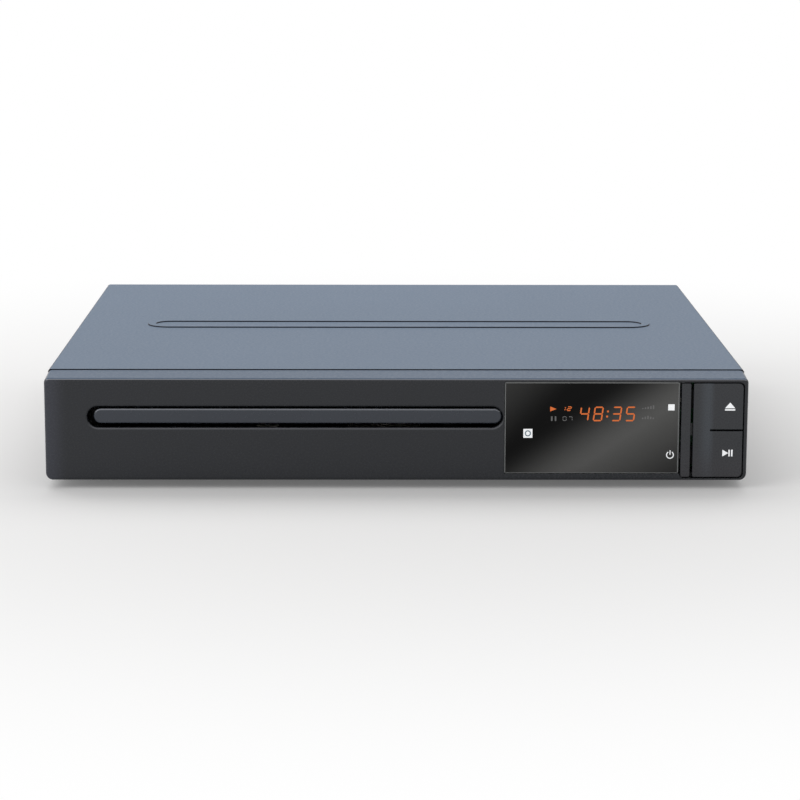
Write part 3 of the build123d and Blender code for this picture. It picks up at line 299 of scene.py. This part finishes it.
def smoked_window():
    """A polished smoked pane: a painted reflection lies along a slanting band, inside a pale cut edge that
    is a painted highlight.
    """
    tree = Tree("smoked_window")
    x, _, z = tree.axes()
    low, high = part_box("display_window")

    # the middle of the painted reflection band leans to the right as it climbs
    lean, foot_x, foot_z = 1.47, 58.8 * MM, 7.1 * MM
    climb = tree.times(tree.minus(z, foot_z), lean)
    beside = tree.minus(tree.minus(x, foot_x), climb)
    rise = tree.span(beside, -32 * MM, 0.0)
    fall = tree.span(beside, 0.0, 42 * MM, 1.0, 0.15, smooth=False)
    band = tree.math("POWER", tree.times(rise, fall), 1.3)

    # a second, fainter painted reflection lies in the upper left corner
    from_left, from_right = tree.minus(x, low.x), tree.minus(high.x, x)
    from_foot, from_top = tree.minus(z, low.z), tree.minus(high.z, z)
    corner = tree.span(tree.math("ADD", from_left, from_top), 24 * MM, 0.0, 0.0, 0.32)
    shade = tree.mix(tree.math("MAXIMUM", band, corner), SMOKE, SMOKE_REFLECTION)

    # painted highlight: a pale line round the pane's cut edge
    edge_width = 0.34 * MM
    inset = tree.math("MINIMUM", tree.math("MINIMUM", from_left, from_right),
                      tree.math("MINIMUM", from_foot, from_top))
    shade = tree.mix(tree.math("LESS_THAN", inset, edge_width), shade, PANE_EDGE_HIGHLIGHT)
    scratch = tree.noise(900, 2)
    tree.set(Base_Color=shade, Specular_IOR_Level=0.1)
    tree.set(Roughness=tree.span(scratch, 0.3, 0.8, 0.05, 0.11))
    return tree.material


def key_plastic():
    """Satin graphite keys, with a painted highlight along the line where the plate bends and painted light
    at the foot.
    """
    tree = Tree("key_plastic")
    broad = tree.noise(60, 3)
    fine = tree.noise(1500, 3, 0.6)
    x, _, z = tree.axes()
    shade = tree.mix(tree.times(broad, 0.2), KEY_GREY, scaled(KEY_GREY, 1.35))
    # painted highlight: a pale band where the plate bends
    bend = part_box("eject_key")[0].x
    left_of_bend = tree.span(x, bend - 4.5 * MM, bend - 0.6 * MM)
    right_of_bend = tree.span(x, bend + 1.6 * MM, bend - 0.2 * MM)
    bend_highlight = tree.times(left_of_bend, right_of_bend)
    shade = tree.mix(tree.times(bend_highlight, 0.9), shade, KEY_BEND_HIGHLIGHT)
    # painted light: the keys are paler low down
    low_down = tree.span(z, 16 * MM, 5 * MM)
    shade = tree.mix(tree.times(low_down, 0.6), shade, KEY_FOOT_LIGHT)
    tree.set(Base_Color=shade, Specular_IOR_Level=0.4)
    tree.set(Roughness=tree.span(fine, 0.3, 0.7, 0.24, 0.32))
    tree.bump(fine, 0.003 * MM)
    return tree.material


# ---------------------------------------------------------------- finishes of the inside
def board_green():
    """Green solder mask over copper tracks, with pale pads."""
    tree = Tree("board_green")
    tracks = tree.node("ShaderNodeTexBrick", {
        "Vector": tree.place, "Scale": 210.0, "Mortar Size": 0.03, "Mortar Smooth": 0.3,
        "Brick Width": 0.9, "Row Height": 0.22}).outputs["Fac"]
    pads = tree.span(tree.cells(260), 0.16, 0.2, 1.0, 0.0)
    cloud = tree.noise(60, 2)
    mask = tree.mix(cloud, lin(14, 78, 44), lin(20, 96, 54))
    shade = tree.mix(tracks, mask, lin(38, 128, 70))
    shade = tree.mix(tree.times(pads, 0.85), shade, lin(176, 172, 160))
    tree.set(Base_Color=shade, Roughness=0.28, Specular_IOR_Level=0.5)
    tree.bump(tracks, 0.03 * MM)
    return tree.material


def transformer_core():
    """Varnished laminations, stacked upward, with an amber wound coil."""
    tree = Tree("transformer_core")
    lamination, core_half = 0.5 * MM, 11.05 * MM
    low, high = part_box("power_transformer")
    middle_y = (low.y + high.y) / 2
    _, y, z = tree.axes()
    stack = tree.math("FRACT", tree.times(z, 1 / lamination))
    grey = tree.mix(tree.span(stack, 0.35, 0.5), lin(92, 88, 80), lin(58, 55, 50))
    from_middle = tree.math("ABSOLUTE", tree.minus(y, middle_y))
    coil = tree.math("GREATER_THAN", from_middle, core_half)
    amber = tree.mix(tree.noise(400, 2, 0.5, (1, 1, 5)), lin(168, 120, 36), lin(206, 160, 62))
    tree.set(Base_Color=tree.mix(coil, grey, amber), Roughness=0.42)
    tree.bump(stack, 0.06 * MM)
    return tree.material


def insert_plastic():
    """The yellow, white and red inserts of the phono sockets, side by side along X."""
    tree = Tree("insert_plastic")
    x, _, _ = tree.axes()
    shade = lin(226, 190, 30)
    for left_edge, colour in ((-1 * MM, lin(226, 226, 222)), (13 * MM, lin(196, 34, 30))):
        shade = tree.mix(tree.math("GREATER_THAN", x, left_edge), shade, colour)
    wear = tree.noise(300, 2)
    shade = tree.mix(tree.times(wear, 0.18), shade, scaled(WHITE, 0.02))
    tree.set(Base_Color=shade, Roughness=tree.span(wear, 0.2, 0.8, 0.3, 0.4))
    tree.bump(wear, 0.02 * MM)
    return tree.material


def ribbon_cable():
    """Flat cable with a fine line for each conductor."""
    tree = Tree("ribbon_cable")
    pitch = 1.25 * MM
    x, _, _ = tree.axes()
    across = tree.math("FRACT", tree.times(x, 1 / pitch))
    from_middle = tree.math("ABSOLUTE", tree.minus(across, 0.5))
    shade = tree.mix(tree.span(from_middle, 0.1, 0.4), lin(198, 196, 188), lin(150, 150, 146))
    tree.set(Base_Color=shade, Roughness=0.5)
    tree.bump(across, 0.05 * MM)
    return tree.material


def lens_glass():
    """Coated glass, from violet to blue."""
    tree = Tree("lens_glass")
    cloud = tree.noise(500, 2)
    tree.set(Base_Color=tree.mix(cloud, lin(92, 78, 150), lin(70, 110, 170)))
    tree.set(Roughness=0.04, Coat_Weight=1.0, Coat_Roughness=0.03)
    return tree.material


def capacitor_sleeve():
    """A dark blue sleeve, with a bare metal top."""
    tree = Tree("capacitor_sleeve")
    _, _, up = tree.normal()
    top = tree.span(up, 0.7, 0.9)
    cloud = tree.noise(220, 2)
    sleeve = tree.mix(cloud, lin(24, 30, 56), lin(32, 42, 74))
    tree.set(Base_Color=tree.mix(top, sleeve, lin(178, 180, 184)))
    tree.set(Metallic=tree.times(top, 0.9), Roughness=0.32)
    tree.bump(cloud, 0.03 * MM)
    return tree.material


# name: colour, roughness, scale of the grain, its depth, change of shade, specular level
MOULDED = {
    "rear_paint": (lin(40, 41, 43), 0.52, 900, 0.03 * MM, 0.12, 0.4),
    "loader_plastic": (lin(40, 40, 42), 0.5, 800, 0.03 * MM, 0.12, 0.4),
    "gear_plastic": (lin(222, 218, 206), 0.38, 700, 0.02 * MM, 0.04, 0.5),
    "clamp_plastic": (lin(58, 58, 62), 0.45, 900, 0.02 * MM, 0.1, 0.4),
    "plunger_plastic": (lin(214, 212, 204), 0.4, 900, 0.02 * MM, 0.05, 0.5),
    "chip_black": (lin(30, 30, 32), 0.48, 900, 0.03 * MM, 0.15, 0.4),
    "black_acetal": (lin(24, 24, 25), 0.45, 700, 0.02 * MM, 0.1, 0.3),
    "foot_rubber": (lin(34, 34, 35), 0.75, 700, 0.05 * MM, 0.2, 0.25),
    "belt_rubber": (lin(26, 26, 26), 0.75, 700, 0.05 * MM, 0.2, 0.25),
}

# name: colour, roughness, stretch of the lines
SHEET_METAL = {
    "steel_sheet": (lin(176, 178, 180), 0.34, (1, 18, 18)),
    "pickup_casting": (lin(160, 162, 166), 0.45, (1, 1, 1)),
}

# name: colour, roughness
TURNED_METAL = {
    "motor_steel": (lin(188, 190, 194), 0.25),
    "socket_metal": (lin(206, 204, 196), 0.18),
    "screw_steel": (lin(170, 172, 176), 0.3),
}

SINGLE_FINISHES = (
    bezel_plastic, key_plastic, cover_paint, smoked_window, tray_plastic, lens_glass, board_green,
    capacitor_sleeve, transformer_core, insert_plastic, ribbon_cable,
)


def make_finishes():
    """Every finish by its name.  All but black_acetal are named as their material slot."""
    made = {finish.__name__: finish() for finish in SINGLE_FINISHES}
    for make, table in ((moulded, MOULDED), (sheet_metal, SHEET_METAL), (turned_metal, TURNED_METAL)):
        for name, values in table.items():
            made[name] = make(name, *values)
    return made


def dress_nodes():
    """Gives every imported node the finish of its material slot."""
    finishes = make_finishes()
    for part in frame["record"]["subparts"]:
        node = NODES[part["node"]]
        node.data.materials.clear()
        node.data.materials.append(finishes[part["material_slot"]])
    # the gear behind the tray slot is black, as nothing pale shows under the tray's bar
    NODES["tray_drive_gear"].data.materials[0] = finishes["black_acetal"]


def glowing_material(name, colour):
    """Coloured plastic that glows a little: the lit segments, and the white print with a painted glow."""
    tree = Tree(name)
    grain = tree.noise(2600, 2)
    shade = tree.mix(grain, scaled(colour, 0.86), scaled(colour, 1.08))
    tree.set(Base_Color=shade, Emission_Color=shade, Emission_Strength=0.3)
    tree.set(Roughness=0.25, Specular_IOR_Level=0.3)
    return tree.material


def ink(name, colour):
    """Screen-printed ink with a slightly uneven cover."""
    tree = Tree(name)
    grain = tree.noise(1800, 2)
    tree.set(Base_Color=tree.mix(grain, scaled(colour, 0.93), scaled(colour, 1.04)))
    tree.set(Roughness=tree.span(grain, 0.3, 0.7, 0.40, 0.5))
    tree.bump(grain, 0.004 * MM)
    return tree.material


# ---------------------------------------------------------------- outlines of the marks
# An outline is a list of (x, z) in plain millimetres, closed from its last point to its first.
SEGMENTS = {
    "0": "abcdef", "1": "bc", "2": "abged", "3": "abgcd", "4": "fgbc",
    "5": "afgcd", "6": "afgedc", "7": "abc", "8": "abcdefg", "9": "abfgcd",
}


def rectangle(x0, x1, z0, z1):
    return [(x0, z0), (x1, z0), (x1, z1), (x0, z1)]


def ring(x, z, r_out, r_in, start=0.0, end=360.0, steps=40):
    """A ring, or an arc of a ring from start to end in degrees, as one outline."""
    angles = [math.radians(start + (end - start) * i / steps) for i in range(steps + 1)]
    outer = [(x + r_out * math.cos(a), z + r_out * math.sin(a)) for a in angles]
    inner = [(x + r_in * math.cos(a), z + r_in * math.sin(a)) for a in reversed(angles)]
    return outer + inner


def pointed_bar(start, end, middle, half):
    """A bar with pointed ends, as (along, across), from start to end about the middle."""
    return [(start, middle), (start + half, middle + half), (end - half, middle + half),
            (end, middle), (end - half, middle - half), (start + half, middle - half)]


def digit_bars(digit, x0, z0, width, height, stroke, slant):
    """The bars of a seven-segment digit whose lower left corner is at x0, z0."""
    half, gap = stroke / 2, stroke * 0.12
    left, right = half, width - half
    low, middle, top = half, height / 2, height - half

    def level(z):
        return pointed_bar(left + gap, right - gap, z, half)

    def upright(x, z_low, z_high):
        return [(across, along) for along, across in pointed_bar(z_low + gap, z_high - gap, x, half)]

    bars = {
        "a": level(top), "g": level(middle), "d": level(low),
        "f": upright(left, middle, top), "b": upright(right, middle, top),
        "e": upright(left, low, middle), "c": upright(right, low, middle),
    }
    return [[(x0 + x + slant * z, z0 + z) for x, z in bars[name]] for name in SEGMENTS[digit]]


def power_symbol(x, z):
    """An open ring with an upright stroke through its gap."""
    radius, stroke = 1.25, 0.32
    gap_left, gap_right = 122, 418
    arc = ring(x, z, radius, radius - stroke, gap_left, gap_right)
    return [arc, rectangle(x - stroke / 2, x + stroke / 2, z + 0.1, z + radius + 0.25)]


def eject_symbol(x, z):
    """A triangle that points up, over a bar."""
    half_width, half_height = 1.65, 1.3
    triangle_foot, bar_top = 0.55, 0.85
    triangle = [(x - half_width, z - triangle_foot), (x + half_width, z - triangle_foot),
                (x, z + half_height)]
    return [triangle, rectangle(x - half_width, x + half_width, z - half_height, z - bar_top)]


def play_pause_symbol(x, z):
    """A triangle that points right, beside two upright bars."""
    half_width, half_height, tip = 1.65, 1.1, 0.25
    triangle = [(x - half_width, z - half_height), (x + tip, z), (x - half_width, z + half_height)]
    bars = [rectangle(x + start, x + end, z - half_height, z + half_height)
            for start, end in ((0.3, 0.75), (1.15, half_width))]
    return [triangle] + bars


# ---------------------------------------------------------------- printed and lit marks
MARK_PROUD = 0.03 * MM
RING_PROUD = 0.04 * MM
MARK_THICKNESS = 0.05 * MM

# places of the marks, in plain millimetres
CLOCK_DIGITS = (("4", 58.3), ("8", 62.7), ("3", 68.6), ("5", 73.0))
CLOCK_DIGIT = {"z0": 22.2, "width": 3.0, "height": 4.8, "stroke": 0.46, "slant": 0.13}
CLOCK_COLON = ((67.35, 23.75), (67.6, 25.4))
COLON_HALF = 0.3
SMALL_DIGITS = (("1", 52.4), ("2", 54.3))
SMALL_DIGIT = {"z0": 25.55, "width": 1.5, "height": 1.5, "stroke": 0.3, "slant": 0.2}
PLAY_SIGN = [(49.1, 25.4), (51.1, 26.2), (49.1, 27.0)]
UNLIT_DIGITS = (("0", 53.1), ("7", 55.0))
UNLIT_DIGIT = {"z0": 22.3, "width": 1.3, "height": 1.5, "stroke": 0.24, "slant": 0.0}
UNLIT_PAUSE = ((49.4, 49.9), (50.6, 51.1))
UNLIT_PAUSE_Z = (22.3, 23.8)
LEVEL_BARS = 5
LEVEL_X, LEVEL_STEP, LEVEL_WIDTH = 78.5, 0.85, 0.5
STOP_SQUARE = (86.85, 88.9, 25.75, 27.75)
POWER_PLACE = (87.75, 11.2)
SENSOR_SQUARE = (40.6, 43.5, 16.8, 19.7)
SENSOR_RING = (42.05, 18.25, 1.0, 0.62)
EJECT_PLACE = (106.7, 27.0)
PLAY_PLACE = (106.2, 11.8)


def front_prism(name, outlines, front, material, body):
    """Thin raised shapes that face the front, one for each outline, from y = front back."""
    mesh = bpy.data.meshes.new(name)
    shape = bmesh.new()
    for points in outlines:
        near = [shape.verts.new((x * MM, front, z * MM)) for x, z in points]
        far = [shape.verts.new((x * MM, front + MARK_THICKNESS, z * MM)) for x, z in points]
        shape.faces.new(near)
        shape.faces.new(list(reversed(far)))
        count = len(points)
        for i in range(count):
            j = (i + 1) % count
            shape.faces.new((near[j], near[i], far[i], far[j]))
    bmesh.ops.recalc_face_normals(shape, faces=shape.faces)
    shape.to_mesh(mesh)
    shape.free()
    mesh.materials.append(material)
    piece = bpy.data.objects.new(name, mesh)
    bpy.context.scene.collection.objects.link(piece)
    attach(piece, body)


def display_marks():
    """The lit clock, small number and play sign, and the unlit signs round them."""
    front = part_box("display_window")[0].y - MARK_PROUD
    lit = [PLAY_SIGN]
    for digit, x in CLOCK_DIGITS:
        lit += digit_bars(digit, x, **CLOCK_DIGIT)
    for x, z in CLOCK_COLON:
        lit.append(rectangle(x - COLON_HALF, x + COLON_HALF, z - COLON_HALF, z + COLON_HALF))
    for digit, x in SMALL_DIGITS:
        lit += digit_bars(digit, x, **SMALL_DIGIT)
    orange = glowing_material("lit_segments", LIT_ORANGE)
    front_prism("display_lit", lit, front, orange, "casing")

    unlit = [rectangle(*sides, *UNLIT_PAUSE_Z) for sides in UNLIT_PAUSE]
    for digit, x in UNLIT_DIGITS:
        unlit += digit_bars(digit, x, **UNLIT_DIGIT)
    # two rows of level bars: the upper one climbs, and the lower one peaks in its middle
    for column in range(LEVEL_BARS):
        x = LEVEL_X + column * LEVEL_STEP
        from_middle = abs(column - LEVEL_BARS // 2)
        unlit.append(rectangle(x, x + LEVEL_WIDTH, 26.2, 26.5 + column * 0.22))
        unlit.append(rectangle(x, x + LEVEL_WIDTH, 22.9, 24.0 - from_middle * 0.3))
    dim = ink("unlit_segments", UNLIT_GREY)
    front_prism("display_unlit", unlit, front, dim, "casing")


def printed_marks():
    """The marks on the window, and those on the eject key and the play key."""
    pane_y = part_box("display_window")[0].y
    key_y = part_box("eject_key")[0].y
    # the white print on the window and keys is no lamp; its glow is painted light
    white = glowing_material("white_print_glow", MARK_WHITE)
    grey = ink("grey_ink", RING_GREY)

    front = pane_y - MARK_PROUD
    stop_and_power = [rectangle(*STOP_SQUARE)] + power_symbol(*POWER_PLACE)
    front_prism("stop_and_power_marks", stop_and_power, front, white, "casing")
    front_prism("sensor_mark", [rectangle(*SENSOR_SQUARE)], front, white, "casing")
    front = pane_y - RING_PROUD
    front_prism("sensor_ring", [ring(*SENSOR_RING)], front, grey, "casing")

    front = key_y - MARK_PROUD
    eject, play_pause = eject_symbol(*EJECT_PLACE), play_pause_symbol(*PLAY_PLACE)
    front_prism("eject_mark", eject, front, white, "eject_button")
    front_prism("play_pause_mark", play_pause, front, white, "play_button")


# ---------------------------------------------------------------- stage, lights and camera
def seen_rays(nodes, links):
    """1 for a ray from the camera, from a gloss or through glass, and 0 for any other."""
    path = nodes.new("ShaderNodeLightPath")
    seen = path.outputs["Is Camera Ray"]
    for kind in ("Is Glossy Ray", "Is Transmission Ray"):
        either = nodes.new("ShaderNodeMath")
        either.operation = "MAXIMUM"
        links.new(seen, either.inputs[0])
        links.new(path.outputs[kind], either.inputs[1])
        seen = either.outputs[0]
    return seen


def make_floor():
    """A pale floor that keeps the shadow near the player and turns plain white further out."""
    half_side, near, far, near_glow = 9.0, 0.11, 0.42, 0.12
    mesh = bpy.data.meshes.new("floor")
    shape = bmesh.new()
    bmesh.ops.create_grid(shape, x_segments=8, y_segments=8, size=half_side)
    shape.to_mesh(mesh)
    shape.free()
    tree = Tree("floor")
    tree.set(Base_Color=(0.88, 0.875, 0.87, 1.0), Roughness=0.9, Specular_IOR_Level=0.0)
    x, y, _ = tree.axes()
    away = tree.math("SQRT", tree.math("ADD", tree.math("POWER", x, 2), tree.math("POWER", y, 2)))
    factor = tree.times(tree.span(away, near, far, near_glow, 1.0), seen_rays(tree.nodes, tree.links))
    glow = tree.node("ShaderNodeEmission", {"Color": WHITE, "Strength": 1.0}).outputs[0]
    mixed = tree.node("ShaderNodeMixShader", {0: factor, 1: tree.shader.outputs[0], 2: glow})
    tree.links.new(mixed.outputs[0], tree.nodes["Material Output"].inputs[0])
    mesh.materials.append(tree.material)
    floor = bpy.data.objects.new("floor", mesh)
    bpy.context.scene.collection.objects.link(floor)


def make_world():
    """Soft light from all round, which the camera and reflections see as plain white."""
    fill_strength, white_strength = 0.5, 1.0
    world = bpy.data.worlds.new("studio")
    world.use_nodes = True
    nodes, links = world.node_tree.nodes, world.node_tree.links
    nodes.clear()
    both = nodes.new("ShaderNodeMixShader")
    links.new(seen_rays(nodes, links), both.inputs[0])
    for socket, strength in ((1, fill_strength), (2, white_strength)):
        background = nodes.new("ShaderNodeBackground")
        background.inputs["Color"].default_value = WHITE
        background.inputs["Strength"].default_value = strength
        links.new(background.outputs[0], both.inputs[socket])
    output = nodes.new("ShaderNodeOutputWorld")
    links.new(both.outputs[0], output.inputs[0])
    bpy.context.scene.world = world


def make_light(name, place, target, size, power):
    """A rectangular softbox that faces its target."""
    data = bpy.data.lights.new(name, "AREA")
    data.shape, data.energy = "RECTANGLE", power
    data.size, data.size_y = size
    lamp = bpy.data.objects.new(name, data)
    bpy.context.scene.collection.objects.link(lamp)
    lamp.location = place
    lamp.rotation_mode = "QUATERNION"
    lamp.rotation_quaternion = (Vector(target) - Vector(place)).to_track_quat("-Z", "Y")


def make_camera():
    """The camera stands where lines fitted to the photograph's edges put it."""
    pitch, yaw, roll = 0.18847, 0.00845, 0.00228
    place = Vector((-5.83 * MM, FRONT_Y - 817.7 * MM, 185.07 * MM))
    focal_pixels, picture, sensor = 2607.4, 800.0, 36.0
    level = math.cos(pitch)
    ahead = Vector((math.sin(yaw) * level, math.cos(yaw) * level, -math.sin(pitch)))
    right = Vector((math.cos(yaw), -math.sin(yaw), 0))
    up = right.cross(ahead)
    rolled_right = math.cos(roll) * right + math.sin(roll) * up
    rolled_up = math.cos(roll) * up - math.sin(roll) * right
    turned = Matrix((rolled_right, rolled_up, -ahead)).transposed().to_4x4()
    data = bpy.data.cameras.new("camera")
    data.sensor_width = sensor
    data.lens = focal_pixels / picture * sensor
    data.clip_start, data.clip_end = 0.01, 50
    camera = bpy.data.objects.new("camera", data)
    bpy.context.scene.collection.objects.link(camera)
    camera.matrix_world = Matrix.Translation(place) @ turned
    bpy.context.scene.camera = camera


def make_studio():
    make_floor()
    make_world()
    make_light("top_softbox", place=(-0.08, 0.38, 0.70), target=(0, 0, 0), size=(1.1, 0.6), power=3.4)
    make_light("left_softbox", place=(-0.9, -0.7, 0.55), target=(0, -0.05, 0.02), size=(0.8, 0.8), power=4.0)
    make_camera()
    bpy.context.scene.view_settings.view_transform = "Standard"


dress_nodes()
display_marks()
printed_marks()
make_studio()
